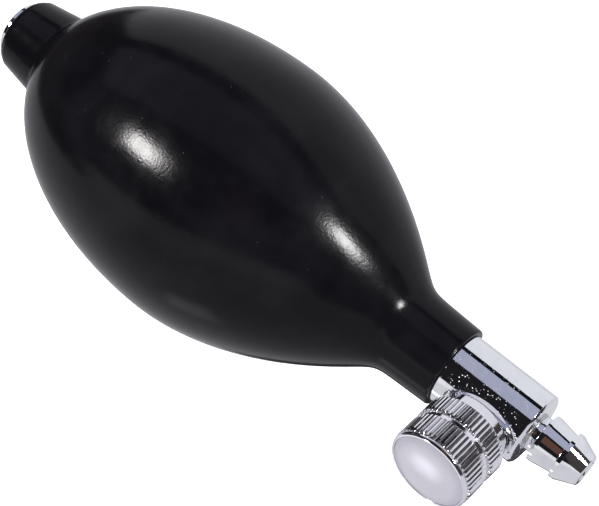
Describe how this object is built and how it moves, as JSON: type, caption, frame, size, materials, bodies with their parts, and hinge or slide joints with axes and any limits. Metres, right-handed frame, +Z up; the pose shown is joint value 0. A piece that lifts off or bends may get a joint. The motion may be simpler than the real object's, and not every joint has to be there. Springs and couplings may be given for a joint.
{
  "type": "squeeze air bulb with release valve",
  "caption": "Black rubber squeeze bulb with a ball inlet valve, a chromed body with a knurled bleed screw, and a barbed hose tail. Blows air or inflates through the hose.",
  "frame": {"origin": "on the bench, under the middle of the object's box, as it lies at rest on its belly, nose and knob", "axes": "+Z up from the bench, +X along the bulb towards the hose tail as seen from above, the thumb screw points to -Y"},
  "size_m": [0.1232, 0.05, 0.0528],
  "materials": {
    "rubber": "moulded, polished, fine orange peel",
    "chrome": "bright chrome plate over turned brass",
    "cap_pearl": "satin, pearl silver",
    "brass": "turned, bright",
    "bronze": "sintered, dull",
    "steel": "ground",
    "nylon": "machined nylon",
    "fibre": "red vulcanised fibre",
    "nitrile": "nitrile, matt"
  },
  "bodies": {
    "bulb_and_valve": {"bulb": "rubber", "inlet_plug": "chrome", "inlet_filter": "bronze", "inlet_ring": "steel", "inlet_cage": "brass", "check_nipple": "brass", "outlet_strainer": "bronze", "outlet_cage": "brass", "valve_body": "chrome", "needle_seat": "nylon", "gland_gasket": "fibre", "gland_nut": "brass", "tail_gasket": "steel", "hose_tail": "chrome"},
    "inlet_ball": {"inlet_ball": "steel"},
    "outlet_ball": {"outlet_ball": "steel"},
    "screw_slider": {"spindle_o_ring": "nitrile"},
    "thumb_screw": {"needle_screw": "steel", "thumb_knob": "chrome", "knob_screw": "steel", "knob_cap": "cap_pearl"}
  },
  "joints": [
    {"name": "inlet_lift", "type": "slide", "parent": "bulb_and_valve", "child": "inlet_ball", "axis": [0.9551, 0, -0.2963], "range_m": [-0.0011, 0]},
    {"name": "outlet_lift", "type": "slide", "parent": "bulb_and_valve", "child": "outlet_ball", "axis": [0.9551, 0, -0.2963], "range_m": [-0.0012, 0]},
    {"name": "screw_travel", "type": "slide", "parent": "bulb_and_valve", "child": "screw_slider", "axis": [-0.017, -0.9984, -0.0547], "range_m": [0, 0.00112]},
    {"name": "screw_turn", "type": "hinge", "parent": "screw_slider", "child": "thumb_screw", "pos_m": [0.04389, 0, 0.00831], "axis": [-0.017, -0.9984, -0.0547], "range_deg": [0, 540]}
  ],
  "couplings": [
    {"joint": "screw_turn", "follows": "screw_travel", "rad_per_m": 8377.6}
  ]
}
